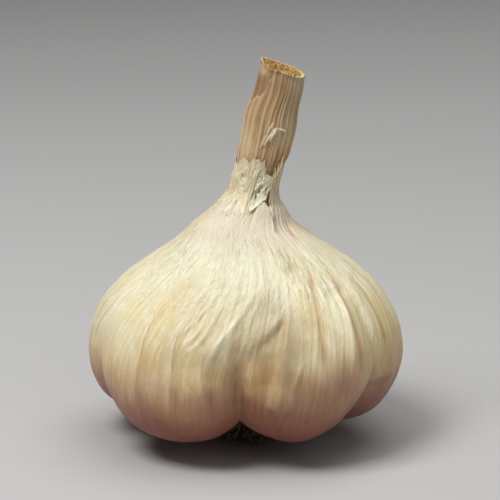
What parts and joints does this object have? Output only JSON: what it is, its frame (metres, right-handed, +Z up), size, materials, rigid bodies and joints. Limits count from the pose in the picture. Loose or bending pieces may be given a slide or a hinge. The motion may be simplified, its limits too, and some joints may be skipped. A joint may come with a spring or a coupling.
{
  "type": "garlic bulb",
  "caption": "Whole dried garlic bulb in its papery skin, lobed by its cloves, standing on trimmed roots, with a leaning cut stalk.",
  "frame": {"origin": "centre of the flat spot under the trimmed roots, on the surface that the bulb stands on", "axes": "+Z up along the bulb's axis, -Y towards the front, where two large cloves meet over the roots; the stalk leans towards +X"},
  "size_m": [0.0631, 0.0621, 0.0772],
  "materials": {
    "papery_skin": "dry, slightly glossy ivory skin with fine lengthwise veins",
    "dry_stalk": "dry, matt straw brown with lengthwise flutes",
    "dry_roots": "matt dark brown"
  },
  "bodies": {
    "root": {"bulb": "papery_skin", "stalk": "dry_stalk", "roots": "dry_roots"}
  },
  "joints": []
}
